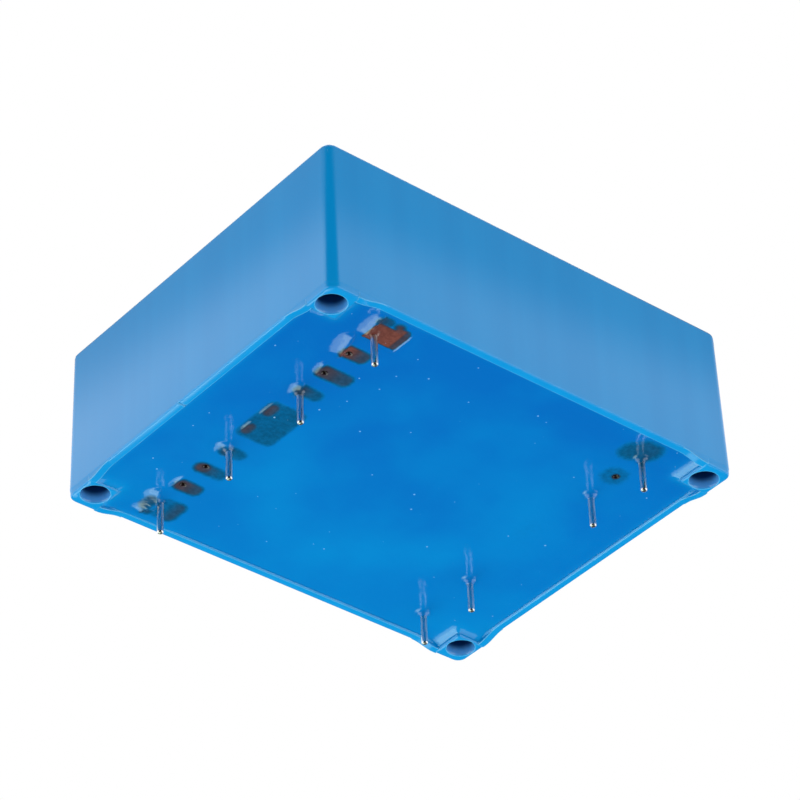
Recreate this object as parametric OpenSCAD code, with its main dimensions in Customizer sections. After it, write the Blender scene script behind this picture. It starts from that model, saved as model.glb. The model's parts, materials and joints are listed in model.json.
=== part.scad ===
// Potted toroidal transformer for printed circuit boards.
// A moulded case, closed at the top and open at the board side, holds a wound
// ring core and two terminal strips, and is filled with casting resin.
// The origin is on the board surface, at the middle of the four screw holes.
// +Z points from the board to the closed top, X runs across the two pin rows
// and Y runs along them. The pins reach below the board surface.

/* [Case] */
// Length of the case, across the pin rows
case_l = 67.6; // [63:0.1:80]
// Width of the case, along the pin rows
case_w = 56.4; // [54:0.1:70]
// Height of the case from the board to the closed top
case_h = 23.6; // [23.2:0.1:32]
// Thickness of the side walls
wall_t = 1.3; // [0.9:0.1:1.6]
// Thickness of the closed top
top_t = 1.3; // [0.9:0.1:1.6]
// Inward lean of each side wall, from the rim to the closed top
draft = 0.18; // [0.05:0.01:0.4]
// Radius of the upright corners
corner_r = 1.5; // [1.2:0.1:2]
// Radius round the edge of the closed top
top_r = 0.9; // [0.5:0.1:1.1]
// Radius round the outer edge of the open rim
rim_r = 0.3; // [0.2:0.05:0.45]
// Bevel on the inner edge of the open rim
rim_bevel = 0.15; // [0.05:0.05:0.25]

/* [Feet and screw holes] */
// Height of the corner feet, from the board to the rim
foot_h = 0.76; // [0.6:0.02:0.9]
// Size of a foot across the pin rows
foot_l = 4.9; // [4.8:0.1:6]
// Size of a foot along the pin rows
foot_w = 5.5; // [5.4:0.1:6.5]
// Radius of the corners of a foot that face into the case
foot_corner_r = 0.5; // [0.2:0.05:0.7]
// Radius round the face of a foot
foot_edge_r = 0.35; // [0.15:0.05:0.4]
// Step between the side wall and the side of a foot
foot_step = 0.08; // [0.02:0.01:0.15]
// Length of the slope from a foot down to the rim
foot_slope_l = 4; // [2:0.1:6]
// Diameter of the blind screw holes
screw_d = 4; // [3:0.1:4.2]
// Depth of the blind screw holes
screw_depth = 9; // [5:0.5:14]
// Bevel round the mouth of a screw hole
screw_bevel = 0.15; // [0.05:0.05:0.3]
// Distance of a screw hole from the end face of the case
screw_inset_x = 2.55; // [2.4:0.01:2.9]
// Distance of a screw hole from the side face of the case
screw_inset_y = 3.2; // [2.7:0.01:3.4]

/* [Pins] */
// Diameter of a pin
pin_d = 0.9; // [0.6:0.05:1.2]
// Length of a pin below the board surface
pin_l = 4; // [3:0.1:6]
// Length of the rounding at the tip of a pin
pin_tip_r = 0.22; // [0.1:0.02:0.28]
// Distance between neighbouring pin positions in a row
pin_pitch = 5; // [4.8:0.02:5.08]
// Distance of each pin row from the end face of the case
row_inset = 11.3; // [10.3:0.1:12.8]
// Length of a pin above its terminal strip, where its wire is soldered
pin_post = 1.5; // [1.2:0.1:1.8]

/* [Terminal strips] */
// Distance of the pin row from the outer edge of its strip
strip_outer = 1.6; // [1.2:0.1:2.2]
// Distance of the pin row from the inner edge of its strip
strip_inner = 4; // [3.2:0.1:4.6]
// Gap between an end of a strip and the side wall
strip_end_gap = 0.7; // [0.4:0.1:1.1]
// Thickness of the bar of a strip
strip_t = 2.4; // [1.8:0.1:2.6]
// Height of the lands above the bar
land_h = 0.9; // [0.6:0.1:1.1]
// Width of a land at a single pin position
land_w = 2.7; // [2:0.1:3.4]
// Width of the land in the middle of a strip
mid_land_w = 8.4; // [6:0.1:10]
// Set-back of the inner end of the short lands
short_land = 1; // [0.5:0.1:1.6]
// Radius of the corners of the lands
land_r = 0.4; // [0.2:0.1:0.8]
// Step from the edge of a strip to the edge of its lands
land_step = 0.1; // [0.05:0.05:0.3]
// Depth of the free holes that the resin has left open
open_depth = 2; // [1:0.1:2.6]

/* [Resin] */
// Depth of the resin below the rim
resin_drop = 0.44; // [0.3:0.02:0.8]
// Height of the primary lands above the resin
land_proud = 0.15; // [0.05:0.01:0.3]
// Depth of resin over the secondary lands
land_cover = 0.4; // [0.2:0.05:0.6]
// Thickness of resin between the coil and the closed top
top_cover = 0.4; // [0.3:0.1:0.8]

/* [Ring core and windings] */
// Outer diameter of the ring core
core_od = 40; // [36:0.5:42]
// Inner diameter of the ring core
core_id = 26; // [24:0.5:30]
// Distance from the upper ends of the secondary pins to the coil
coil_clearance = 1.1; // [0.8:0.1:1.5]
// Radius of the edges of the ring core
core_edge_r = 0.2; // [0.1:0.05:0.5]
// Thickness of the insulation round the core
core_tape_t = 0.4; // [0.3:0.05:0.5]
// Thickness of the primary windings
primary_t = 1.5; // [1:0.05:1.6]
// Thickness of the tape between primary and secondary
inter_tape_t = 0.3; // [0.2:0.05:0.4]
// Thickness of the secondary windings
secondary_t = 1.3; // [0.9:0.05:1.4]
// Thickness of the outer tape
outer_tape_t = 0.5; // [0.3:0.05:0.6]
// Bunching of the turns inside the ring, against outside it
bunching = 1.6; // [1.2:0.05:1.7]
// Angle between the two halves of the primary winding
primary_gap = 3; // [2:0.5:5]
// Angle between the two halves of the secondary winding
secondary_gap = 20; // [18:1:30]

/* [Lead-out wires] */
// Diameter of the primary wires
primary_wire_d = 0.5; // [0.3:0.05:0.6]
// Diameter of the secondary wires
secondary_wire_d = 0.8; // [0.5:0.05:0.9]
// Distance of a wire below the upper end of its pin
wire_drop = 0.6; // [0.5:0.05:0.7]
// Radius of the bend where a wire turns up to its winding
wire_bend = 0.8; // [0.6:0.1:1]
// Length of wire that runs into its winding
wire_bite = 0.6; // [0.3:0.1:0.8]
// Radius of a solder joint at the terminal strip
solder_r = 1; // [0.8:0.05:1.2]
// Radius of a solder joint at its upper end
solder_tip_r = 0.6; // [0.5:0.05:0.7]

/* [Moulding mark] */
// Width of the small nick across the rim
nick_w = 0.3; // [0.2:0.05:0.5]
// Depth of the small nick across the rim
nick_depth = 0.15; // [0.1:0.01:0.25]
// Place of the nick along the rim, from the middle
nick_y = 3.2; // [-15:0.1:15]

/* [Hidden] */

$fn = 64;
hull_fn = 32;
eps = 0.01;
slice_t = 0.001;

case_blue = "#4a94d6";
resin_blue = "#0a6fc2";
phenolic_brown = "#7a4030";
tinned = "#c9ced2";
steel_grey = "#6f7479";
film_yellow = "#d9c56a";
film_white = "#e6e2d6";
copper = "#b8693a";

// Pin positions are counted 1 to 10 along the primary row, and 11 to 20 back
// along the secondary row. The two middle positions of a strip have no hole.
row_count = 10;
pins = [1, 4, 7, 10, 11, 13, 18, 20];
primary_holes = [1, 2, 3, 4, 7, 8, 9, 10];
secondary_holes = [11, 12, 13, 14, 17, 18, 19, 20];
open_holes = [2, 3, 8, 9, 19];
function is_primary(n) = n <= row_count;
function row_slot(n) = is_primary(n) ? n : 2 * row_count + 1 - n;
row_x = case_l / 2 - row_inset;
function pin_x(n) = (is_primary(n) ? -1 : 1) * row_x;
function pin_y(n) = (row_slot(n) - (row_count + 1) / 2) * pin_pitch;

// Levels above the board
rim_z = foot_h;
resin_z = rim_z + resin_drop;
ceiling_z = case_h - top_t;
function land_z(n) = resin_z + (is_primary(n) ? -land_proud : land_cover);
function strip_top(n) = land_z(n) + land_h + strip_t;
function pin_top(n) = strip_top(n) + pin_post;
function wire_z(n) = pin_top(n) - wire_drop;

// Terminal strips
strip_w = strip_outer + strip_inner;
strip_l = case_w - 2 * (wall_t + strip_end_gap);

// Case: the walls lean in towards the closed top
ceiling_r = 0.4;
cavity_corner_r = 0.3;
foot_bury = 0.05;
post_step = 0.1;
post_root = 0.6;
slope_drop = 0.05;
slope_steps = 8;
function lean(z) = draft * (z - rim_z) / (case_h - rim_z);

// Coil layers, from the core outwards: core, core tape, primary, tape
// between the windings, secondary, outer tape
CORE = 0;
CORE_TAPE = 1;
PRIMARY = 2;
INTER_TAPE = 3;
SECONDARY = 4;
OUTER_TAPE = 5;
edge_growth = 0.8;
layer_t = [0, core_tape_t, primary_t, inter_tape_t, secondary_t, outer_tape_t];
bunch = [1, 1, bunching, 1, bunching, 1];
function build(i) = i < 0 ? 0 : layer_t[i] + build(i - 1);
function build_inside(i) = i < 0 ? 0 : layer_t[i] * bunch[i] + build_inside(i - 1);
function layer_ro(i) = core_od / 2 + build(i);
function layer_ri(i) = core_id / 2 - build_inside(i);
function layer_edge_r(i) = core_edge_r + build(i) * edge_growth;

// The coil fills the height between the pins and the closed top
coil_bottom = pin_top(row_count + 1) + coil_clearance;
coil_top = ceiling_z - top_cover;
coil_z = (coil_bottom + coil_top) / 2;
core_h = coil_top - coil_bottom - 2 * build(OUTER_TAPE);
function layer_height(i) = core_h + 2 * build(i);
function layer_bottom(i) = coil_z - layer_height(i) / 2;

// Lead-out wires leave the underside of their windings over the middle of the
// core's section, at these angles from the X axis
riser_r = (core_od + core_id) / 4;
inner_primary_angle = 3;
outer_primary_angle = 7.5;
inner_secondary_angle = 25;
outer_secondary_angle = 48;
function outer_slot(n) = row_slot(n) == 1 || row_slot(n) == row_count;
function riser_angle(n) = is_primary(n)
    ? (outer_slot(n) ? outer_primary_angle : inner_primary_angle)
    : (outer_slot(n) ? outer_secondary_angle : inner_secondary_angle);
function riser_x(n) = sign(pin_x(n)) * riser_r * cos(riser_angle(n));
function riser_y(n) = sign(pin_y(n)) * riser_r * sin(riser_angle(n));
function riser_top(n) = layer_bottom(is_primary(n) ? PRIMARY : SECONDARY) + wire_bite;
function wire_d(n) = is_primary(n) ? primary_wire_d : secondary_wire_d;

// ---- Shared shapes ----

module at_corners() {
    for (flip_x = [0, 1], flip_y = [0, 1])
        mirror([flip_x, 0, 0])
            mirror([0, flip_y, 0])
                children();
}

// Four upright discs at one level: a slice through a block with round corners
module slice(l, w, r, z, inset) {
    half_l = l / 2 - r - lean(z);
    half_w = w / 2 - r - lean(z);
    for (side_x = [-1, 1], side_y = [-1, 1])
        translate([side_x * half_l, side_y * half_w, min(z, case_h - slice_t)])
            cylinder(r = r - inset, h = slice_t, $fn = hull_fn);
}

module rounded_plate(l, w, r, h) {
    linear_extrude(h) union() {
        square([l - 2 * r, w], center = true);
        square([l, w - 2 * r], center = true);
        for (side_x = [-1, 1], side_y = [-1, 1])
            translate([side_x * (l / 2 - r), side_y * (w / 2 - r)]) circle(r);
    }
}

// ---- Case ----

module outer_body() {
    hull() {
        for (a = [0 : 22.5 : 90])
            slice(case_l, case_w, corner_r, rim_z + rim_r * (1 - sin(a)), rim_r * (1 - cos(a)));
        for (a = [0 : 22.5 : 90])
            slice(case_l, case_w, corner_r, case_h - top_r * (1 - sin(a)), top_r * (1 - cos(a)));
    }
}

module cavity() {
    l = case_l - 2 * wall_t;
    w = case_w - 2 * wall_t;
    r = cavity_corner_r + ceiling_r;
    hull() {
        slice(l, w, r, -foot_h, 0);
        for (a = [0 : 30 : 90])
            slice(l, w, r, ceiling_z - ceiling_r * (1 - sin(a)), ceiling_r * (1 - cos(a)));
    }
}

module rim_bevel_cut() {
    l = case_l - 2 * wall_t;
    w = case_w - 2 * wall_t;
    hull() {
        slice(l, w, corner_r, rim_z + rim_bevel, 0);
        slice(l + 2 * rim_bevel, w + 2 * rim_bevel, corner_r, rim_z - eps, 0);
    }
}

// One corner post with its foot, in the +X +Y corner
module corner_block() {
    post_x = case_l / 2 - foot_l + post_step;
    post_y = case_w / 2 - foot_w + post_step;
    post_l = foot_l - post_step - post_root;
    post_w = foot_w - post_step - post_root;
    r = foot_corner_r;
    translate([post_x, post_y, rim_z])
        linear_extrude(ceiling_z + eps - rim_z) union() {
            translate([r, 0]) square([post_l - r, post_w]);
            translate([0, r]) square([post_l, post_w - r]);
            translate([r, r]) circle(r);
        }
    foot();
}

module foot() {
    r_out = corner_r - foot_step;
    x_out = case_l / 2 - foot_step;
    y_out = case_w / 2 - foot_step;
    x_in = case_l / 2 - foot_l;
    y_in = case_w / 2 - foot_w;
    r_in = foot_corner_r;
    hull() {
        for (a = [0 : 30 : 90])
            foot_slice(x_in, y_in, x_out, y_out, r_in, r_out,
                foot_edge_r * (1 - sin(a)), foot_edge_r * (1 - cos(a)));
        foot_slice(x_in, y_in, x_out, y_out, r_in, r_out, rim_z + rim_r + foot_bury, 0);
    }
}

module foot_slice(x_in, y_in, x_out, y_out, r_in, r_out, z, inset) {
    translate([x_out - r_out, y_out - r_out, z])
        cylinder(r = r_out - inset, h = slice_t, $fn = hull_fn);
    for (p = [[x_in + r_in, y_in + r_in], [x_out - r_in, y_in + r_in], [x_in + r_in, y_out - r_in]])
        translate([p.x, p.y, z])
            cylinder(r = r_in - inset, h = slice_t, $fn = hull_fn);
}

// A slope on the rim, from the foot at x = 0 to the rim at x = -foot_slope_l
module slope(width) {
    top = rim_z + rim_r;
    rise = rim_z - slope_drop;
    curve = [for (i = [0 : slope_steps])
        [-foot_slope_l * i / slope_steps,
            slope_drop + rise * (1 - cos(180 * i / slope_steps)) / 2]];
    rotate([90, 0, 0])
        linear_extrude(width)
            polygon(concat([[foot_edge_r + eps, top], [foot_edge_r + eps, slope_drop]],
                curve, [[-foot_slope_l, top]]));
}

// The two slopes beside the foot in the +X +Y corner
module slopes() {
    width = wall_t - foot_step - rim_bevel;
    translate([case_l / 2 - foot_l, case_w / 2 - foot_step, 0])
        slope(width);
    translate([case_l / 2 - foot_step, case_w / 2 - foot_w, 0])
        mirror([1, -1, 0])
            slope(width);
}

module screw_hole() {
    translate([case_l / 2 - screw_inset_x, case_w / 2 - screw_inset_y, 0]) {
        translate([0, 0, -eps])
            cylinder(d = screw_d, h = screw_depth + eps);
        translate([0, 0, -screw_bevel])
            cylinder(d1 = screw_d + 4 * screw_bevel, d2 = screw_d, h = 2 * screw_bevel);
    }
}

module rim_nick() {
    translate([-case_l / 2 - wall_t, nick_y - nick_w / 2, -eps])
        cube([3 * wall_t, nick_w, rim_z + nick_depth + eps]);
}

module case_shell() {
    color(case_blue)
        difference() {
            union() {
                difference() {
                    outer_body();
                    cavity();
                    rim_bevel_cut();
                }
                at_corners() {
                    corner_block();
                    slopes();
                }
            }
            at_corners() screw_hole();
            rim_nick();
        }
}

// ---- Terminal strips ----

function hole_list(n) = is_primary(n) ? primary_holes : secondary_holes;

// The strip that carries position n, with its holes still closed
module strip_block(n) {
    side = is_primary(n) ? -1 : 1;
    middle_x = side * (row_x + (strip_outer - strip_inner) / 2);
    translate([middle_x, 0, land_z(n) + land_h])
        rounded_plate(strip_w, strip_l, land_r, strip_t);
    land(n, 0, mid_land_w, 0);
    for (side_y = [-1, 1]) {
        for (slot = [1.5, 2.5, 3.5])
            land(n, side_y * slot * pin_pitch, land_w, slot == 2.5 ? 0 : short_land);
        end_inner = 4.5 * pin_pitch - land_w / 2;
        end_w = strip_l / 2 - land_step - end_inner;
        land(n, side_y * (end_inner + end_w / 2), end_w, 0);
    }
}

// One land, whose inner end stops set_back short of the longest lands
module land(n, y, width, set_back) {
    side = is_primary(n) ? -1 : 1;
    outer_x = row_x + strip_outer - land_step;
    length = strip_w - 2 * land_step - set_back;
    translate([side * (outer_x - length / 2), y, land_z(n)])
        rounded_plate(length, width, land_r, land_h + eps);
}

module terminal_strip(n) {
    color(phenolic_brown)
        difference() {
            strip_block(n);
            for (h = hole_list(n))
                translate([pin_x(h), pin_y(h), land_z(n) - eps])
                    cylinder(d = pin_d, h = land_h + strip_t + 2 * eps);
        }
}

// ---- Pins, leads and solder ----

module pin(n) {
    tip = [for (a = [0 : 22.5 : 90])
        [pin_d / 2 - pin_tip_r * (1 - sin(a)), -pin_l + pin_tip_r * (1 - cos(a))]];
    color(tinned)
        translate([pin_x(n), pin_y(n), 0])
            rotate_extrude()
                polygon(concat([[0, pin_top(n)], [0, -pin_l]], tip, [[pin_d / 2, pin_top(n)]]));
}

// The wire from a pin to its riser, round a bend, and up into the winding
module wire(n) {
    run = [riser_x(n) - pin_x(n), riser_y(n) - pin_y(n)];
    flat_l = norm(run) - wire_bend;
    translate([pin_x(n), pin_y(n), wire_z(n)])
        rotate([0, 0, atan2(run.y, run.x)]) {
            rotate([0, 90, 0])
                cylinder(d = wire_d(n), h = flat_l);
            translate([flat_l, 0, wire_bend])
                rotate([90, 0, 0])
                    rotate([0, 0, -90])
                        rotate_extrude(angle = 90)
                            translate([wire_bend, 0]) circle(d = wire_d(n));
            translate([norm(run), 0, wire_bend])
                cylinder(d = wire_d(n), h = riser_top(n) - wire_z(n) - wire_bend);
        }
}

module lead(n) {
    color(copper)
        difference() {
            wire(n);
            pin(n);
        }
}

module solder(n) {
    color(tinned)
        difference() {
            translate([pin_x(n), pin_y(n), strip_top(n)])
                cylinder(r1 = solder_r, r2 = solder_tip_r, h = pin_post);
            pin(n);
            wire(n);
        }
}

// ---- Ring core and windings ----

module ring_section(i) {
    l = layer_ro(i) - layer_ri(i);
    h = layer_height(i);
    r = layer_edge_r(i);
    translate([layer_ri(i) + l / 2, coil_z]) union() {
        square([l - 2 * r, h], center = true);
        square([l, h - 2 * r], center = true);
        for (side_x = [-1, 1], side_y = [-1, 1])
            translate([side_x * (l / 2 - r), side_y * (h / 2 - r)]) circle(r);
    }
}

module ring(i) {
    rotate_extrude() ring_section(i);
}

// Half a winding, on the +Y side (side = 1) or the -Y side (side = -1)
module half_ring(i, gap, side) {
    rotate([0, 0, side * 90 - (180 - gap) / 2])
        rotate_extrude(angle = 180 - gap) ring_section(i);
}

module ring_core() {
    color(steel_grey) ring(CORE);
}

module core_insulation() {
    color(film_white)
        difference() {
            ring(CORE_TAPE);
            ring(CORE);
        }
}

module primary_winding(side) {
    color(copper)
        difference() {
            half_ring(PRIMARY, primary_gap, side);
            ring(CORE_TAPE);
            for (n = [1, 4, 7, 10]) wire(n);
        }
}

module interlayer_tape() {
    color(film_yellow)
        difference() {
            ring(INTER_TAPE);
            for (side = [-1, 1]) half_ring(PRIMARY, primary_gap, side);
            ring(CORE_TAPE);
            for (n = [1, 4, 7, 10]) wire(n);
        }
}

module secondary_winding(side) {
    color(copper)
        difference() {
            half_ring(SECONDARY, secondary_gap, side);
            ring(INTER_TAPE);
            for (n = [11, 13, 18, 20]) wire(n);
        }
}

module outer_tape() {
    color(film_yellow)
        difference() {
            ring(OUTER_TAPE);
            for (side = [-1, 1]) half_ring(SECONDARY, secondary_gap, side);
            ring(INTER_TAPE);
            for (n = pins) wire(n);
        }
}

// ---- Resin ----

// Casting resin fills the case round everything that is held in it
module potting_resin() {
    color(resin_blue)
        difference() {
            cavity();
            translate([-case_l, -case_w, -case_h])
                cube([2 * case_l, 2 * case_w, case_h + resin_z]);
            at_corners() corner_block();
            terminal_strip(1);
            terminal_strip(row_count + 1);
            ring(OUTER_TAPE);
            for (n = pins) {
                pin(n);
                wire(n);
                solder(n);
            }
            for (n = open_holes)
                translate([pin_x(n), pin_y(n), 0])
                    cylinder(d = pin_d, h = land_z(n) + open_depth);
        }
}

case_shell();  // case
potting_resin();
terminal_strip(1);  // primary_terminal_strip
terminal_strip(row_count + 1);  // secondary_terminal_strip
for (n = pins) {
    pin(n);
    lead(n);
    solder(n);
}
ring_core();
core_insulation();
primary_winding(-1);  // primary_winding_1
primary_winding(1);  // primary_winding_2
interlayer_tape();
secondary_winding(-1);  // secondary_winding_1
secondary_winding(1);  // secondary_winding_2
outer_tape();
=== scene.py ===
"""Looks of a potted circuit board transformer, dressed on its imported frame.

The camera looks up at the board side: resin, terminal lands, pins and the rim of the case.
Lengths in the constants are in millimetres, in the frame of the part. MM turns them into metres.
"""

import json
import math
import random

import bmesh
import bpy
import numpy as np
from mathutils import Matrix, Vector

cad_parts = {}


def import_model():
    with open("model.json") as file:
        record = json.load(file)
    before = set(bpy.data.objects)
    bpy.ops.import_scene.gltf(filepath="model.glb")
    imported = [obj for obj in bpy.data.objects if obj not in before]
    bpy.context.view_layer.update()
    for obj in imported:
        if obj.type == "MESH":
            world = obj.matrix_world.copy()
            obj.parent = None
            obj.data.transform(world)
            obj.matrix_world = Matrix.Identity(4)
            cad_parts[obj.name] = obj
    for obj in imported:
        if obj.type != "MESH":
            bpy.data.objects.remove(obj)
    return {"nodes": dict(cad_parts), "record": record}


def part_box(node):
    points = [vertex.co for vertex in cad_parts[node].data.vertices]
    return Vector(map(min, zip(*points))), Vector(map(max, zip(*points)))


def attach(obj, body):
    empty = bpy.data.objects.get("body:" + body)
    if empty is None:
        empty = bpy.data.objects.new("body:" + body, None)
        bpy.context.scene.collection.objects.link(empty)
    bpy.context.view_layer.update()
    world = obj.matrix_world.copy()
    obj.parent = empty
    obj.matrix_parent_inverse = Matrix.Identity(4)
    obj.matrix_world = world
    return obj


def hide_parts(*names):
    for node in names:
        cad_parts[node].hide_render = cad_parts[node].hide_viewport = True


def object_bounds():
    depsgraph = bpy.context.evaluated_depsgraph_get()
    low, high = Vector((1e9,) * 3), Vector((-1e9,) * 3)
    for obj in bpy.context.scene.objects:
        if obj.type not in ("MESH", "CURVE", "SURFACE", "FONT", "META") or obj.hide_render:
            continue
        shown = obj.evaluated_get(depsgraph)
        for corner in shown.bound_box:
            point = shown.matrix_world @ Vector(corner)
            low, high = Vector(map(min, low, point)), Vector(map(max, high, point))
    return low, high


MM = 0.001
rng = random.Random(20)

# View: the direction from the object to the camera, and how the frame is held in it
VIEW_AZIMUTH = math.radians(-40.59)
VIEW_ELEVATION = math.radians(-36.88)
VIEW_ROLL = math.radians(-2.46)
VIEW_DISTANCE = 482.45
VIEW_AIM_RIGHT = 0.47
VIEW_AIM_UP = 11.48
LENS = 165.2
SENSOR = 36.0

# Terminal pins: how far their rows stand from the middle, their radius, and the place of each
# number along its row. The primary row is the one at -X.
PIN_ROW_X = 22.5
PIN_R = 0.45
PINS = {1: -22.5, 4: -7.5, 7: 7.5, 10: 22.5, 11: 22.5, 13: 12.5, 18: -12.5, 20: -22.5}
PRIMARY = (1, 4, 7, 10)

# Holes of the free positions in the strips, and how far the resin sinks into them
FREE_HOLES = [(-22.5, -17.5), (-22.5, -12.5), (-22.5, 12.5), (-22.5, 17.5), (22.5, -17.5)]
HOLE_R = 0.45
PIT_DEPTH = 0.2

# Screw holes in the corner posts, with the slight funnel that the finished surface shows
SCREW_X = 31.25
SCREW_Y = 25.0
MOUTH_R = 2.05
BORE_R = 1.8
FUNNEL_DEPTH = 0.35

# Which points of the case belong to a screw hole: their distance from its axis, and the height
# that they stay under. Those of its mouth stay under the last one.
HOLE_POINTS_R = (1.5, 2.3)
HOLE_POINTS_TOP = 9.5
MOUTH_POINTS_TOP = 0.08

# Softened edge of the moulding
EDGE_R = 0.22

# Resin: level of its flat surface, how thinly it covers the lands, and the faces that it wets
RESIN_Z = 1.2
LAND_Z = 1.05
FILM_T = 0.03
WALL_HALF_X = 32.5
WALL_HALF_Y = 26.9
POST_X = 29.0
POST_Y = 22.8

# Height and reach of the resin's climb, and how far the case shows through it and over what
# reach, at the walls and at the posts
WALL_CLIMB = (0.14, 0.5)
POST_CLIMB = (0.75, 1.1)
WALL_SHOWS = (0.5, 0.35)
POST_SHOWS = (0.9, 1.2)

# The resin body runs a little way into the walls and posts, so that no seam opens. Its sides
# lean inward from there.
EDGE_X = 32.65
EDGE_Y = 27.05
POST_SEAT = 0.04
SIDE_LEAN = 0.35

# Grid of the resin surface: step across and along, and the fine step. It is fine across the
# primary lands, and within the last two distances of a pin or free hole, across and along.
STEP_X = 0.32
STEP_Y = 0.28
STEP_FINE = 0.13
FINE_LANDS_X = (-26.0, -18.2)
FINE_HALF_X = 1.2
FINE_HALF_Y = 1.0

# Colours
CASE_BLUES = (0.001, 0.268, 0.655), (0.002, 0.286, 0.682)
# Painted highlight on the edges of the moulding
EDGE_PAINTED_HIGHLIGHT = (0.130, 0.540, 0.900)
# Painted sheen near the holes' mouths, and painted shade deeper down them
HOLE_PAINTED_SHEEN = (0.060, 0.270, 0.640)
HOLE_PAINTED_SHADE = (0.0005, 0.024, 0.110)
RESIN_BLUES = (0.0003, 0.133, 0.490), (0.0003, 0.212, 0.575)
THIN_BLUE = (0.001, 0.258, 0.640)
# Painted shade in the pits of the free holes
PIT_PAINTED_SHADE = (0.008, 0.003, 0.003)
DUST = (0.22, 0.50, 0.80)
STRIP_BROWNS = (0.120, 0.040, 0.026), (0.265, 0.090, 0.058)

# What a land looks like through the resin, by its tone
TONE_COLORS = (
    (0.0, (0.0003, 0.190, 0.560)),
    (0.16, (0.0008, 0.135, 0.380)),
    (0.30, (0.0015, 0.095, 0.235)),
    (0.48, (0.022, 0.055, 0.105)),
    (0.64, (0.068, 0.043, 0.052)),
    (0.80, (0.165, 0.054, 0.043)),
    (1.0, (0.200, 0.070, 0.055)),
)

# Studio: a bright sheet with a dark side, where the photographer stands, and a low strip at
# either hand of it. Level of the sheet, what it gains low down, its share on the right, and the
# level of the strips.
DARK_SIDE = (-0.65, -0.76, 0.0)
ACROSS = (-0.76, 0.65, 0.0)
SHEET_LEVEL = 0.45
SHEET_LOW_GAIN = 1.1
SHEET_RIGHT_SHARE = 0.76
LOW_STRIP_LEVEL = 2.2

# Plain light, for all rays but those of gloss and of the camera: its level, what it gains above
# the horizon, what it loses on the dark side, overhead and at the back, and its least level
PLAIN_LEVEL = 1.06
PLAIN_ABOVE = 0.47
PLAIN_DARK_SIDE = 1.36
PLAIN_OVERHEAD = 0.66
PLAIN_BACK = 0.50
PLAIN_LEAST = 0.15

# Soft boxes: name, direction from the object, distance, width and height in metres, radiance
# and colour
WHITE = (1.0, 1.0, 1.0)
PALE_GREEN = (0.80, 1.0, 0.78)
LAMPS = (
    ("low_box_left", (0.06, 0.62, -0.79), 0.6, 0.34, 0.32, 1.9, PALE_GREEN),
    ("low_box_core", (0.04, 0.60, -0.80), 0.55, 0.20, 0.20, 1.9, PALE_GREEN),
    ("low_box_right", (0.62, 0.02, -0.80), 0.6, 0.20, 0.20, 1.2, WHITE),
    ("top_box", (0.20, 0.30, 0.93), 0.9, 0.6, 0.6, 1.6, WHITE),
)

# Half the side of the floor
FLOOR_HALF = 4000.0


def pin_place(number):
    """Where a pin stands on the board, in millimetres."""
    side = -1 if number in PRIMARY else 1
    return side * PIN_ROW_X, PINS[number]


# ---- Meshes ----


def mesh_object(name, vertices, faces, smooth_angle=None):
    """A new mesh object from points in millimetres."""
    mesh = bpy.data.meshes.new(name)
    mesh.from_pydata([tuple(MM * c for c in v) for v in vertices], [], faces)
    mesh.validate()
    mesh.update()
    obj = bpy.data.objects.new(name, mesh)
    bpy.context.scene.collection.objects.link(obj)
    if smooth_angle is not None:
        shade_smooth(obj, smooth_angle)
    return obj


def shade_smooth(obj, angle_degrees):
    """Smooth shading, with edges over the angle kept sharp."""
    obj.data.shade_smooth()
    obj.data.set_sharp_from_angle(angle=math.radians(angle_degrees))


def copy_of_node(node, name, smooth_angle):
    """A welded, smooth-shaded copy of a CAD node, which it replaces."""
    obj = bpy.data.objects.new(name, frame["nodes"][node].data.copy())
    bpy.context.scene.collection.objects.link(obj)
    work = bmesh.new()
    work.from_mesh(obj.data)
    bmesh.ops.remove_doubles(work, verts=work.verts, dist=0.002 * MM)
    bmesh.ops.dissolve_degenerate(work, edges=work.edges, dist=0.001 * MM)
    work.to_mesh(obj.data)
    work.free()
    obj.data.materials.clear()
    if "custom_normal" in obj.data.attributes:
        obj.data.attributes.remove(obj.data.attributes["custom_normal"])
    shade_smooth(obj, smooth_angle)
    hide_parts(node)
    return obj


def revolved(name, profile, centre, steps=40):
    """A closed body of revolution. profile is (radius, height) pairs, from end to end."""
    vertices, faces = [], []
    for radius, height in profile:
        for i in range(steps):
            a = math.tau * i / steps
            vertices.append(
                (centre[0] + radius * math.cos(a), centre[1] + radius * math.sin(a), height)
            )
    rows = len(profile)
    for r in range(rows - 1):
        for i in range(steps):
            j = (i + 1) % steps
            faces.append((r * steps + i, r * steps + j, (r + 1) * steps + j, (r + 1) * steps + i))
    faces.append(tuple(range(steps - 1, -1, -1)))
    faces.append(tuple((rows - 1) * steps + i for i in range(steps)))
    return mesh_object(name, vertices, faces, smooth_angle=50)


# ---- Materials ----


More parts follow.
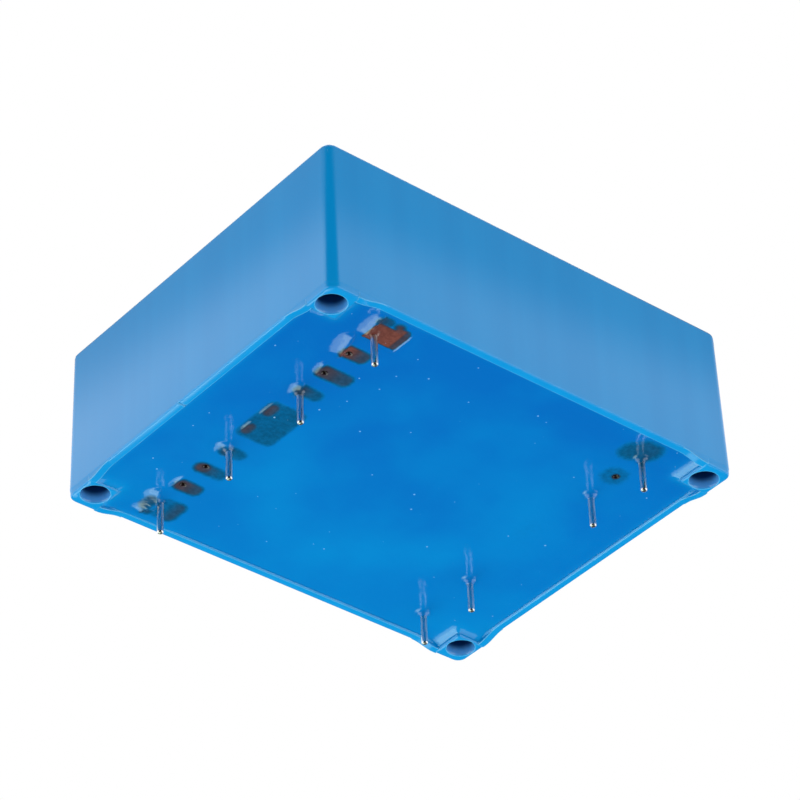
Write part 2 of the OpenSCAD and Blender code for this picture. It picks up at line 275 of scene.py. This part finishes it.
class Nodes:
    """Builds the node tree of one material."""

    def __init__(self, name):
        self.material = bpy.data.materials.new(name)
        self.material.use_nodes = True
        self.tree = self.material.node_tree
        self.tree.nodes.clear()
        self.output = self.add("ShaderNodeOutputMaterial")

    def add(self, kind, **settings):
        node = self.tree.nodes.new(kind)
        for key, value in settings.items():
            setattr(node, key, value)
        return node

    def link(self, source, target):
        self.tree.links.new(source, target)

    def set(self, socket, value):
        """Links a socket, or writes a plain value on it."""
        if isinstance(value, bpy.types.NodeSocket):
            self.link(value, socket)
        else:
            socket.default_value = value

    def place(self):
        """Object coordinates in millimetres."""
        coordinates = self.add("ShaderNodeTexCoord")
        scale = self.add("ShaderNodeVectorMath", operation="SCALE")
        self.link(coordinates.outputs["Object"], scale.inputs[0])
        scale.inputs["Scale"].default_value = 1 / MM
        return scale.outputs[0]

    def stretched(self, vector, factors):
        node = self.add("ShaderNodeVectorMath", operation="MULTIPLY")
        self.link(vector, node.inputs[0])
        node.inputs[1].default_value = factors
        return node.outputs[0]

    def noise(self, vector, scale, detail=2.0, roughness=0.5):
        node = self.add("ShaderNodeTexNoise")
        self.link(vector, node.inputs["Vector"])
        node.inputs["Scale"].default_value = scale
        node.inputs["Detail"].default_value = detail
        node.inputs["Roughness"].default_value = roughness
        return node.outputs["Fac"]

    def math(self, operation, a, b=0.0, clamp=False):
        node = self.add("ShaderNodeMath", operation=operation, use_clamp=clamp)
        self.set(node.inputs[0], a)
        self.set(node.inputs[1], b)
        return node.outputs[0]

    def spread(self, value, low, high, to_low=0.0, to_high=1.0, smooth=True):
        """Maps a value from low..high to to_low..to_high."""
        node = self.add("ShaderNodeMapRange")
        node.interpolation_type = "SMOOTHSTEP" if smooth else "LINEAR"
        self.link(value, node.inputs["Value"])
        limits = {"From Min": low, "From Max": high, "To Min": to_low, "To Max": to_high}
        for key, number in limits.items():
            node.inputs[key].default_value = number
        return node.outputs["Result"]

    def mix(self, factor, a, b):
        node = self.add("ShaderNodeMix", data_type="RGBA")
        self.set(node.inputs["Factor"], factor)
        self.set(node.inputs["A"], a if isinstance(a, bpy.types.NodeSocket) else (*a, 1))
        self.set(node.inputs["B"], b if isinstance(b, bpy.types.NodeSocket) else (*b, 1))
        return node.outputs["Result"]

    def ramp(self, factor, stops):
        """A colour ramp. stops are (position, colour) pairs, from 0 to 1."""
        node = self.add("ShaderNodeValToRGB")
        self.link(factor, node.inputs["Fac"])
        elements = node.color_ramp.elements
        for element, (position, color) in zip(elements, (stops[0], stops[-1])):
            element.position, element.color = position, (*color, 1)
        for position, color in stops[1:-1]:
            elements.new(position).color = (*color, 1)
        return node.outputs["Color"]

    def bump(self, height, strength, distance_mm, normal=None):
        node = self.add("ShaderNodeBump")
        node.inputs["Strength"].default_value = strength
        node.inputs["Distance"].default_value = distance_mm * MM
        self.link(height, node.inputs["Height"])
        if normal is not None:
            self.link(normal, node.inputs["Normal"])
        return node.outputs["Normal"]

    def surface(self, color, roughness, normal=None, **fixed):
        shader = self.add("ShaderNodeBsdfPrincipled")
        self.set(shader.inputs["Base Color"], color)
        self.set(shader.inputs["Roughness"], roughness)
        if normal is not None:
            self.link(normal, shader.inputs["Normal"])
        for key, value in fixed.items():
            shader.inputs[key.replace("_", " ")].default_value = value
        self.link(shader.outputs[0], self.output.inputs["Surface"])
        return self.material


def case_material():
    """Glossy blue plastic, faintly streaked up the walls, with a painted highlight on edges and a
    painted sheen and painted shade down the holes.
    """
    n = Nodes("moulded_case")
    place = n.place()
    streaks = n.noise(n.stretched(place, (1, 1, 0.03)), 0.22, 3)
    grain = n.noise(place, 4.0, 3)
    tint = n.spread(streaks, 0.35, 0.7)
    color = n.mix(tint, *CASE_BLUES)

    # The holes' painted sheen and painted shade start behind their mouths, so that the posts' faces
    # keep their own colour
    bore = n.add("ShaderNodeAttribute", attribute_name="bore").outputs["Fac"]
    parts = n.add("ShaderNodeSeparateXYZ")
    n.link(place, parts.inputs[0])
    bore = n.math("MULTIPLY", bore, n.spread(parts.outputs["Z"], 0.04, 0.20))
    color = n.mix(bore, color, HOLE_PAINTED_SHEEN)
    # Painted shade deeper down the holes
    deep_painted_shade = n.math("MULTIPLY", bore, n.spread(parts.outputs["Z"], 0.5, 1.9))
    color = n.mix(deep_painted_shade, color, HOLE_PAINTED_SHADE)

    # An edge is where the softened normal turns away from the face's own. There the colour turns to
    # a painted highlight.
    soft_edge = n.add("ShaderNodeBevel", samples=6)
    soft_edge.inputs["Radius"].default_value = EDGE_R * MM
    flat = n.add("ShaderNodeNewGeometry")
    bend = n.add("ShaderNodeVectorMath", operation="DOT_PRODUCT")
    n.link(soft_edge.outputs[0], bend.inputs[0])
    n.link(flat.outputs["Normal"], bend.inputs[1])
    painted_edge_highlight = n.spread(bend.outputs["Value"], 0.995, 0.90)
    color = n.mix(painted_edge_highlight, color, EDGE_PAINTED_HIGHLIGHT)

    roughness = n.spread(grain, 0.3, 0.7, 0.12, 0.16)
    height = n.math("ADD", n.math("MULTIPLY", streaks, 0.6), n.math("MULTIPLY", grain, 0.10))
    normal = n.bump(height, 0.12, 0.05, soft_edge.outputs[0])
    return n.surface(color, roughness, normal, IOR=1.5)


def resin_material():
    """Glossy blue casting resin. Its attributes say what shows through at each point."""
    n = Nodes("casting_resin")
    place = n.place()

    # Clouded blue, lighter towards the far corner and over the ring of the coil
    parts = n.add("ShaderNodeSeparateXYZ")
    n.link(place, parts.inputs[0])
    radius = n.add("ShaderNodeVectorMath", operation="LENGTH")
    n.link(n.stretched(place, (1, 1, 0)), radius.inputs[0])
    cloud = n.noise(place, 0.07, 3)
    coil = n.math(
        "MULTIPLY",
        n.spread(radius.outputs["Value"], 11.0, 16.0),
        n.spread(radius.outputs["Value"], 25.0, 18.0),
    )
    along = n.math("ADD", parts.outputs["Y"], n.math("MULTIPLY", parts.outputs["X"], 0.35))
    slope = n.spread(along, -30.0, 32.0, 0.0, 0.8, smooth=False)
    light = n.math("ADD", slope, n.spread(cloud, 0.35, 0.7, -0.18, 0.22))
    light = n.math("ADD", light, n.math("MULTIPLY", coil, 0.22), clamp=True)
    blue = n.mix(light, *RESIN_BLUES)

    # The lands below, painted shade in the pits of the free holes, and the case where the resin
    # thins out
    film = n.add("ShaderNodeAttribute", attribute_name="film").outputs["Fac"]
    mottle = n.spread(n.noise(place, 1.6, 4, 0.65), 0.3, 0.7, 0.78, 1.12)
    land = n.add("ShaderNodeVectorMath", operation="SCALE")
    n.link(n.ramp(film, TONE_COLORS), land.inputs[0])
    n.link(mottle, land.inputs["Scale"])
    tinted = n.mix(n.spread(film, 0.0, 0.2), blue, land.outputs[0])
    painted_pit_shade = n.add("ShaderNodeAttribute", attribute_name="painted_pit_shade").outputs["Fac"]
    tinted = n.mix(painted_pit_shade, tinted, PIT_PAINTED_SHADE)
    thin = n.add("ShaderNodeAttribute", attribute_name="thin").outputs["Fac"]
    tinted = n.mix(thin, tinted, THIN_BLUE)

    # Sparse specks of dust of many sizes
    dust = n.add("ShaderNodeTexVoronoi")
    dust.voronoi_dimensions = "2D"
    n.link(place, dust.inputs["Vector"])
    dust.inputs["Scale"].default_value = 0.55
    dust.inputs["Randomness"].default_value = 1.0
    chance = n.add("ShaderNodeSeparateColor")
    n.link(dust.outputs["Color"], chance.inputs["Color"])
    size = n.spread(chance.outputs["Red"], 0.92, 1.0, 0.0, 0.075, smooth=False)
    speck = n.math("MULTIPLY", n.math("LESS_THAN", dust.outputs["Distance"], size), 0.8)
    color = n.mix(speck, tinted, DUST)
    ripple = n.noise(place, 0.9, 2)
    return n.surface(color, 0.10, n.bump(ripple, 0.25, 0.12), IOR=1.5)


def strip_material():
    """Brown phenolic moulding, mottled, with a thin film of resin on it."""
    n = Nodes("phenolic_strip")
    place = n.place()
    mottle = n.noise(place, 1.4, 4, 0.65)
    color = n.mix(n.spread(mottle, 0.35, 0.68), *STRIP_BROWNS)
    fine = n.noise(place, 9.0, 3)
    return n.surface(color, n.spread(fine, 0.3, 0.7, 0.22, 0.42), n.bump(fine, 0.3, 0.03), IOR=1.5)


def metal_material(name, color, roughness, marks=0.3):
    """Bare or enamelled metal, with fine lengthwise marks."""
    n = Nodes(name)
    place = n.place()
    drawn = n.noise(n.stretched(place, (3, 3, 0.3)), 1.6, 2)
    tint = n.mix(n.spread(drawn, 0.3, 0.7), tuple(0.86 * c for c in color), color)
    rough = n.spread(drawn, 0.3, 0.7, roughness - 0.06, roughness + 0.06)
    return n.surface(tint, rough, n.bump(drawn, marks, 0.02), Metallic=1.0)


def wrap_material(name, color, roughness):
    """Film or paper wrap, with a light grain."""
    n = Nodes(name)
    place = n.place()
    grain = n.noise(place, 2.0, 3)
    tint = n.mix(n.spread(grain, 0.3, 0.7), tuple(0.85 * c for c in color), color)
    return n.surface(tint, roughness, n.bump(grain, 0.3, 0.05), IOR=1.5)


# ---- Resin surface ----


def smoothstep(value, low, high):
    """0 at low and before, 1 at high and past it, smooth between them."""
    t = np.clip((value - low) / (high - low), 0, 1)
    return t * t * (3 - 2 * t)


def box_distance(x, y, cx, cy, half_x, half_y, radius):
    """Distance outside a rectangle with round corners, negative inside it."""
    dx = np.abs(x - cx) - half_x + radius
    dy = np.abs(y - cy) - half_y + radius
    outside = np.hypot(np.maximum(dx, 0), np.maximum(dy, 0))
    return outside + np.minimum(np.maximum(dx, dy), 0) - radius


def waves(x, y, size, height, seed):
    """Gentle random swell as a sum of a few plane waves."""
    wave_rng = random.Random(seed)
    total = np.zeros_like(x)
    for _ in range(9):
        a = wave_rng.uniform(0, math.tau)
        length = size * wave_rng.uniform(0.7, 1.6)
        phase = wave_rng.uniform(0, math.tau)
        total += np.sin(math.tau * (x * math.cos(a) + y * math.sin(a)) / length + phase)
    return height * total / 3


# Over the primary strip the resin stands higher, so that it just covers the lands. Round the
# first land, which is nearly bare, it ends in a fine bead: middle x and y, and half sizes.
STRIP_INNER_X = -18.4
STRIP_SLOPE = 4.5
BEAD = (-21.0, -23.7, 2.95, 2.75)
BEAD_CORNER = 0.5
BEAD_HEIGHT = 0.12
BEAD_WIDTH = 0.18
BEAD_FADE_X = (-22.5, -21.0)
BEAD_FADE_Y = (-25.5, -24.0)

# Swellings of the resin at the outer ends of the lands: x and y of the crest, height, reach
# outward and inward, half length, and turn in degrees
SWELLS = [
    (-23.50, -23.9, 0.42, 2.3, 0.6, 2.6, 4),
    (-23.75, -18.7, 0.44, 2.5, 0.6, 2.7, 16),
    (-23.40, -13.0, 0.22, 1.3, 0.5, 1.5, 12),
    (-22.60, -7.9, 0.42, 2.0, 0.5, 1.6, 25),
    (-23.70, -2.2, 0.10, 0.6, 0.4, 1.5, 0),
    (-23.60, 2.1, 0.10, 0.6, 0.4, 1.2, 0),
    (-22.60, 7.7, 0.42, 2.0, 0.5, 1.5, 27),
    (-23.45, 17.5, 0.15, 0.9, 0.4, 1.5, 0),
    (-23.20, 22.2, 0.46, 2.5, 0.5, 2.6, 27),
    (-23.35, 25.0, 0.36, 2.3, 0.6, 1.1, -6),
]

# What shows through the resin: middle x and y, half sizes, tone at the outer and inner end, and
# blur. Tones run from 0, clear blue, over teal, grey and dark brown to 0.8, red-brown.
SHADOWS = [
    (-21.05, -22.95, 2.65, 1.65, 0.79, 0.80, 0.12),
    (-19.70, -24.6, 1.20, 0.80, 0.70, 0.76, 0.35),
    (-20.60, -25.4, 0.70, 0.60, 0.62, 0.66, 0.60),
    (-22.8, -25.3, 1.3, 0.9, 0.46, 0.34, 0.40),
    (-21.7, -17.75, 2.15, 1.25, 0.77, 0.50, 0.42),
    (-21.05, -12.7, 2.75, 1.30, 0.60, 0.44, 0.50),
    (-21.5, -8.0, 2.2, 1.10, 0.48, 0.32, 0.60),
    (-21.3, 0.10, 3.0, 4.3, 0.28, 0.30, 0.50),
    (-23.0, -2.2, 0.95, 1.5, 0.58, 0.50, 0.60),
    (-23.0, 2.6, 0.90, 1.4, 0.58, 0.50, 0.60),
    (-21.5, 8.0, 2.1, 1.1, 0.40, 0.28, 0.60),
    (-22.5, 12.95, 1.35, 1.10, 0.62, 0.54, 0.60),
    (-20.7, 13.0, 2.0, 1.15, 0.42, 0.30, 0.65),
    (-21.5, 17.7, 2.10, 1.25, 0.62, 0.46, 0.50),
    (-20.7, 23.4, 2.1, 2.3, 0.20, 0.42, 0.60),
    (-22.9, 25.2, 0.9, 0.7, 0.42, 0.36, 0.50),
    (-23.9, 23.2, 0.9, 1.7, 0.40, 0.36, 0.60),
    (22.0, -24.3, 2.2, 2.0, 0.33, 0.33, 0.90),
    (20.3, -23.0, 1.7, 1.9, 0.31, 0.31, 0.80),
    (22.5, -17.5, 0.70, 0.70, 0.54, 0.54, 0.35),
    (22.2, -17.5, 2.0, 1.9, 0.20, 0.20, 0.90),
    (21.0, -1.0, 1.6, 2.6, 0.06, 0.06, 1.80),
]

# The first land's inner end is darker: from where on across the row, up to where along it, over
# which tone, and by how much
DARK_BAND_X = -19.3
DARK_BAND_Y = -20.0
DARK_BAND_TONE = 0.62
DARK_BAND_DROP = 0.22

# How high the resin climbs at a pin, and how far round it
COLLARS = {1: (0.50, 0.26), 4: (0.35, 0.22), 7: (0.40, 0.24), 10: (0.30, 0.22)}
PLAIN_COLLAR = (0.85, 0.27)


def swell(x, y, crest_x, crest_y, height, outward, inward, half_length, turn):
    """A swelling with a crest line, a long outer flank and a short inner one."""
    a = math.radians(turn)
    across = (x - crest_x) * math.cos(a) - (y - crest_y) * math.sin(a)
    along = (x - crest_x) * math.sin(a) + (y - crest_y) * math.cos(a)
    body = np.sqrt(np.clip(1 - (along / half_length) ** 4, 0.0001, 1))
    reach = np.abs(across) / (np.where(across < 0, outward, inward) * body)
    return height * body * (1 - np.clip(np.sqrt(reach * reach + 0.01), 0, 1)) ** 1.6


def case_distances(x, y):
    """Distance to the nearest wall and to the nearest corner post, never below 0."""
    wall = np.minimum(WALL_HALF_X - np.abs(x), WALL_HALF_Y - np.abs(y))
    post = np.hypot(np.maximum(POST_X - np.abs(x), 0), np.maximum(POST_Y - np.abs(y), 0))
    return np.maximum(wall, 0), post


def resin_height(x, y):
    """Level of the resin surface, in millimetres. It climbs where it wets walls, posts and pins."""
    wall, post = case_distances(x, y)
    climb = WALL_CLIMB[0] * np.exp(-wall / WALL_CLIMB[1])
    climb += POST_CLIMB[0] * np.exp(-post / POST_CLIMB[1])
    over_strip = smoothstep(-x, -STRIP_INNER_X - STRIP_SLOPE, -STRIP_INNER_X)
    plateau = (RESIN_Z - LAND_Z + FILM_T) * over_strip
    edge = box_distance(x, y, *BEAD, BEAD_CORNER)
    bead = BEAD_HEIGHT * np.exp(-((edge / BEAD_WIDTH) ** 2))
    climb += bead * smoothstep(x, *BEAD_FADE_X) * smoothstep(y, *BEAD_FADE_Y)
    for shape in SWELLS:
        climb += swell(x, y, *shape)
    z = RESIN_Z - plateau - climb - waves(x, y, 9.0, 0.012, 3) - waves(x, y, 3.0, 0.004, 5)
    for number in PINS:
        px, py = pin_place(number)
        r = np.hypot(x - px, y - py)
        high, reach = COLLARS.get(number, PLAIN_COLLAR)
        z -= high * np.exp(-np.maximum(r - PIN_R, 0) / reach)
    for cx, cy in FREE_HOLES:
        r = np.hypot(x - cx, y - cy)
        z += (RESIN_Z - z + PIT_DEPTH) * (1 - smoothstep(r, HOLE_R - 0.25, HOLE_R - 0.02))
    return z


def land_tone(x, y):
    """How the lands tone the resin at each point."""
    tone = np.zeros_like(x)
    for cx, cy, half_x, half_y, outer, inner, blur in SHADOWS:
        d = box_distance(x, y, cx, cy, half_x, half_y, min(half_x, half_y, 0.3 + 1.5 * blur))
        along = np.clip((x - cx + half_x) / (2 * half_x), 0, 1)
        level = outer + (inner - outer) * smoothstep(along, 0.2, 0.8)
        tone = np.maximum(tone, level * (1 - smoothstep(d, -blur, blur)))
    band = smoothstep(x, DARK_BAND_X - 0.2, DARK_BAND_X + 0.2) * (x < 0) * (y < DARK_BAND_Y)
    return np.where(tone > DARK_BAND_TONE, tone - DARK_BAND_DROP * band, tone)


def pit_shade(x, y):
    """Painted shade of the free holes' pits: 1 inside the holes, 0 outside."""
    shade = np.zeros_like(x)
    for cx, cy in FREE_HOLES:
        r = np.hypot(x - cx, y - cy)
        shade = np.maximum(shade, 1 - smoothstep(r, HOLE_R - 0.08, HOLE_R + 0.10))
    return shade


def thin_edge(x, y):
    """How far the case shows through where the resin thins out, on the posts and the walls."""
    wall, post = case_distances(x, y)
    at_post = POST_SHOWS[0] * np.exp(-((post / POST_SHOWS[1]) ** 2))
    at_wall = WALL_SHOWS[0] * np.exp(-wall / WALL_SHOWS[1])
    return np.clip(at_post + at_wall, 0, POST_SHOWS[0])


def graded(low, high, step, spans, fine):
    """Grid lines from low to high, with a finer step inside the spans."""
    lines = [low]
    while lines[-1] < high:
        near = any(a <= lines[-1] <= b for a, b in spans)
        lines.append(lines[-1] + (fine if near else step))
    lines[-1] = high
    return lines


def with_lines(lines, marks):
    """The same grid lines, with the nearest one moved onto each mark."""
    for mark in marks:
        nearest = min(range(len(lines)), key=lambda k: abs(lines[k] - mark))
        lines[nearest] = mark
    return lines


def resin_grid():
    """Grid lines of the resin surface, across and along, with lines along the posts' faces."""
    fine_x = [FINE_LANDS_X, (PIN_ROW_X - FINE_HALF_X, PIN_ROW_X + FINE_HALF_X)]
    across = graded(-EDGE_X, EDGE_X, STEP_X, fine_x, STEP_FINE)
    places = {y for _, y in FREE_HOLES} | set(PINS.values())
    fine_y = [(y - FINE_HALF_Y, y + FINE_HALF_Y) for y in places]
    along = graded(-EDGE_Y, EDGE_Y, STEP_Y, fine_y, STEP_FINE)
    seat_x, seat_y = POST_X + POST_SEAT, POST_Y + POST_SEAT
    return with_lines(across, (-seat_x, seat_x)), with_lines(along, (-seat_y, seat_y))


def close_behind(obj, end_z):
    """Gives an open surface its leaning sides and a flat end at end_z, in millimetres."""
    work = bmesh.new()
    work.from_mesh(obj.data)
    rim = [e for e in work.edges if e.is_boundary]
    extruded = bmesh.ops.extrude_edge_only(work, edges=rim)["geom"]
    for v in extruded:
        if isinstance(v, bmesh.types.BMVert):
            v.co.x -= math.copysign(SIDE_LEAN * MM, v.co.x)
            v.co.y -= math.copysign(SIDE_LEAN * MM, v.co.y)
            v.co.z = end_z * MM
    cap = [e for e in extruded if isinstance(e, bmesh.types.BMEdge) and e.is_boundary]
    bmesh.ops.contextual_create(work, geom=cap)
    bmesh.ops.recalc_face_normals(work, faces=work.faces)
    work.to_mesh(obj.data)
    work.free()


def resin_body():
    """The cast resin: a detailed board side on a plain block that fills the case."""
    xs, ys = resin_grid()
    x, y = np.meshgrid(np.array(xs), np.array(ys), indexing="ij")
    z = resin_height(x, y)
    shades = {"film": land_tone(x, y), "painted_pit_shade": pit_shade(x, y), "thin": thin_edge(x, y)}
    used, faces = {}, []

    def corner(i, j):
        return used.setdefault((i, j), len(used))

    for i in range(len(xs) - 1):
        for j in range(len(ys) - 1):
            middle = abs(xs[i] + xs[i + 1]) / 2, abs(ys[j] + ys[j + 1]) / 2
            if middle[0] > POST_X + POST_SEAT and middle[1] > POST_Y + POST_SEAT:
                continue  # a corner post stands here
            faces.append((corner(i, j), corner(i, j + 1), corner(i + 1, j + 1), corner(i + 1, j)))
    obj = mesh_object("resin_fill", [(x[at], y[at], z[at]) for at in used], faces)
    close_behind(obj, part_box("potting_resin")[1].z / MM)
    for name, shade in shades.items():
        attribute = obj.data.attributes.new(name, "FLOAT", "POINT")
        values = np.zeros(len(obj.data.vertices), np.float32)
        values[: len(used)] = [shade[at] for at in used]
        attribute.data.foreach_set("value", values)
    shade_smooth(obj, 50)
    return obj


# ---- Pins ----


def pin_body(number):
    """A tinned pin with a rounded tip and a slightly uneven shank."""
    low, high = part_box(f"pin_{number}")
    bottom, top = low.z / MM, high.z / MM
    tip, tip_steps, shank_steps = 0.3, 8, 11
    profile = [(0.02, bottom)]
    for k in range(1, tip_steps + 1):
        a = math.pi / 2 * k / tip_steps
        profile.append((PIN_R - tip + tip * math.sin(a), bottom + tip * (1 - math.cos(a))))
    for k in range(1, shank_steps + 1):
        height = bottom + tip + (top - bottom - tip) * k / shank_steps
        profile.append((PIN_R * rng.uniform(0.985, 1.0), height))
    return revolved(f"pin_{number}_tinned", profile, pin_place(number))


# ---- Case ----


def case_body():
    """The moulded case with funnelled screw holes, whose points carry the bore attribute."""
    obj = copy_of_node("case", "moulded_case", 32)
    work = bmesh.new()
    work.from_mesh(obj.data)
    bore = work.verts.layers.float.new("bore")
    for v in work.verts:
        cx, cy = math.copysign(SCREW_X, v.co.x), math.copysign(SCREW_Y, v.co.y)
        dx, dy, z = v.co.x / MM - cx, v.co.y / MM - cy, v.co.z / MM
        r = math.hypot(dx, dy)
        if not HOLE_POINTS_R[0] <= r <= HOLE_POINTS_R[1] or z > HOLE_POINTS_TOP:
            continue
        v[bore] = 1.0
        if z < MOUTH_POINTS_TOP:
            new_r, new_z = MOUTH_R, z
        else:
            new_r, new_z = BORE_R, max(z, FUNNEL_DEPTH)
        v.co.x = (cx + dx / r * new_r) * MM
        v.co.y = (cy + dy / r * new_r) * MM
        v.co.z = new_z * MM
    work.to_mesh(obj.data)
    work.free()
    shade_smooth(obj, 40)
    return obj


# ---- Stage ----


def camera():
    """The photo's camera. It looks up at the board side, and rolls a little about its axis."""
    back = Vector(
        (
            math.sin(VIEW_AZIMUTH) * math.cos(VIEW_ELEVATION),
            -math.cos(VIEW_AZIMUTH) * math.cos(VIEW_ELEVATION),
            math.sin(VIEW_ELEVATION),
        )
    )
    right = Vector((math.cos(VIEW_AZIMUTH), math.sin(VIEW_AZIMUTH), 0))
    up = back.cross(right)
    aim = (right * VIEW_AIM_RIGHT + up * VIEW_AIM_UP) * MM
    rolled_right = right * math.cos(VIEW_ROLL) + up * math.sin(VIEW_ROLL)
    rolled_up = up * math.cos(VIEW_ROLL) - right * math.sin(VIEW_ROLL)
    data = bpy.data.cameras.new("camera")
    data.lens = LENS
    data.sensor_width = SENSOR
    data.clip_start = 0.01
    data.clip_end = 50
    obj = bpy.data.objects.new("camera", data)
    bpy.context.scene.collection.objects.link(obj)
    turn = Matrix((rolled_right, rolled_up, back)).transposed().to_4x4()
    obj.matrix_world = Matrix.Translation(aim + back * VIEW_DISTANCE * MM) @ turn
    bpy.context.scene.camera = obj


def lamp(name, direction, distance, width, height, radiance, color, middle):
    """A soft box that faces the middle of the object."""
    data = bpy.data.lights.new(name, "AREA")
    data.shape = "RECTANGLE"
    data.size, data.size_y = width, height
    data.color = color
    data.energy = radiance * math.pi * width * height
    obj = bpy.data.objects.new(name, data)
    bpy.context.scene.collection.objects.link(obj)
    towards = Vector(direction).normalized()
    obj.location = middle + towards * distance
    obj.rotation_euler = towards.to_track_quat("Z", "Y").to_euler()


def world():
    """White to the camera. Gloss sees a bright sheet above and, below, a dark studio with two
    low strips. Everything else has a plain light, dimmer on the dark side."""
    scene = bpy.context.scene
    scene.world = bpy.data.worlds.new("studio")
    scene.world.use_nodes = True
    scene.world.cycles.sampling_method = "NONE"
    tree = scene.world.node_tree
    tree.nodes.clear()

    def calc(operation, a, b=0.0):
        node = tree.nodes.new("ShaderNodeMath")
        node.operation = operation
        for socket, value in zip(node.inputs, (a, b)):
            if isinstance(value, bpy.types.NodeSocket):
                tree.links.new(value, socket)
            else:
                socket.default_value = value
        return node.outputs[0]

    def times(a, b):
        return calc("MULTIPLY", a, b)

    def plus(a, b):
        return calc("ADD", a, b)

    def minus(a, b):
        return calc("SUBTRACT", a, b)

    def smooth(value, low, high):
        """0 at low, 1 at high. low may be the larger."""
        node = tree.nodes.new("ShaderNodeMapRange")
        node.interpolation_type = "SMOOTHSTEP"
        tree.links.new(value, node.inputs["Value"])
        node.inputs["From Min"].default_value = low
        node.inputs["From Max"].default_value = high
        return node.outputs["Result"]

    direction = tree.nodes.new("ShaderNodeTexCoord").outputs["Generated"]

    def towards(axis):
        node = tree.nodes.new("ShaderNodeVectorMath")
        node.operation = "DOT_PRODUCT"
        tree.links.new(direction, node.inputs[0])
        node.inputs[1].default_value = axis
        return node.outputs["Value"]

    split = tree.nodes.new("ShaderNodeSeparateXYZ")
    tree.links.new(direction, split.inputs[0])
    height = split.outputs["Z"]
    front = towards(DARK_SIDE)
    above = smooth(height, -0.1, 0.15)

    # What gloss sees
    level = plus(SHEET_LEVEL, times(smooth(height, 0.70, 0.56), SHEET_LOW_GAIN))
    left = times(smooth(split.outputs["X"], 0.30, -0.30), 1 - SHEET_RIGHT_SHARE)
    level = times(level, plus(SHEET_RIGHT_SHARE, left))
    sheet = times(times(above, minus(1.0, smooth(front, 0.30, 0.60))), level)
    to_side = smooth(calc("ABSOLUTE", towards(ACROSS)), 0.58, 0.74)
    low_strip = times(times(smooth(height, -0.70, -0.52), to_side), minus(1.0, above))
    gloss = plus(sheet, times(low_strip, LOW_STRIP_LEVEL))

    # The plain light
    on_dark_side = times(smooth(front, 0.45, 0.72), above)
    at_back = times(smooth(front, -0.10, -0.50), above)
    plain = plus(PLAIN_LEVEL, times(above, PLAIN_ABOVE))
    plain = minus(plain, times(on_dark_side, PLAIN_DARK_SIDE))
    plain = minus(plain, times(smooth(height, 0.50, 0.85), PLAIN_OVERHEAD))
    plain = minus(plain, times(at_back, PLAIN_BACK))
    plain = calc("MAXIMUM", plain, PLAIN_LEAST)

    # Which of them a ray gets. The camera sees plain white.
    path = tree.nodes.new("ShaderNodeLightPath").outputs
    mirror = calc("MAXIMUM", path["Is Glossy Ray"], path["Is Transmission Ray"])
    strength = plus(times(mirror, gloss), times(minus(1.0, mirror), plain))
    seen = path["Is Camera Ray"]
    strength = plus(times(minus(1.0, seen), strength), seen)
    background = tree.nodes.new("ShaderNodeBackground")
    background.inputs["Color"].default_value = (1, 1, 1, 1)
    tree.links.new(strength, background.inputs["Strength"])
    output = tree.nodes.new("ShaderNodeOutputWorld")
    tree.links.new(background.outputs[0], output.inputs["Surface"])


def floor(level):
    """A pale floor at the pin tips. It is seen from above only, and lets light through."""
    n = Nodes("floor")
    sides = ((-1, -1), (1, -1), (1, 1), (-1, 1))
    corners = [(FLOOR_HALF * a, FLOOR_HALF * b, level) for a, b in sides]
    obj = mesh_object("floor", corners, [(0, 1, 2, 3)])
    obj.data.materials.append(n.material)
    geometry = n.add("ShaderNodeNewGeometry")
    path = n.add("ShaderNodeLightPath")
    seen = n.math(
        "MULTIPLY",
        n.math("SUBTRACT", 1.0, geometry.outputs["Backfacing"]),
        path.outputs["Is Camera Ray"],
    )
    shine = n.add("ShaderNodeBsdfDiffuse")
    shine.inputs["Color"].default_value = (0.86, 0.86, 0.86, 1)
    clear = n.add("ShaderNodeBsdfTransparent")
    blend = n.add("ShaderNodeMixShader")
    n.link(seen, blend.inputs[0])
    n.link(clear.outputs[0], blend.inputs[1])
    n.link(shine.outputs[0], blend.inputs[2])
    n.link(blend.outputs[0], n.output.inputs["Surface"])


# ---- Scene ----

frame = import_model()
cad_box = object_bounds()
camera()

case = case_body()
case.data.materials.append(case_material())
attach(case, "root")

resin = resin_body()
resin.data.materials.append(resin_material())
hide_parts("potting_resin")
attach(resin, "root")

tin = metal_material("tinned_wire", (0.68, 0.69, 0.69), 0.30, 0.12)
for number in PINS:
    pin = pin_body(number)
    pin.data.materials.append(tin)
    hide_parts(f"pin_{number}")
    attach(pin, "root")

finishes = {
    "strip": strip_material(),
    "solder": metal_material("soft_solder", (0.66, 0.67, 0.69), 0.3),
    "core": metal_material("core_steel", (0.34, 0.36, 0.38), 0.4),
    "core_wrap": wrap_material("core_sleeve", (0.78, 0.75, 0.66), 0.6),
    "copper_wire": metal_material("enamelled_copper", (0.70, 0.28, 0.12), 0.3),
    "tape": wrap_material("film_tape", (0.72, 0.58, 0.20), 0.25),
}
for part in frame["record"]["subparts"]:
    if part["material_slot"] in finishes:
        node = frame["nodes"][part["node"]]
        node.data.materials.clear()
        node.data.materials.append(finishes[part["material_slot"]])

world()
floor(cad_box[0].z / MM)
for box in LAMPS:
    lamp(*box, middle=(cad_box[0] + cad_box[1]) / 2)

bpy.context.scene.view_settings.view_transform = "Standard"
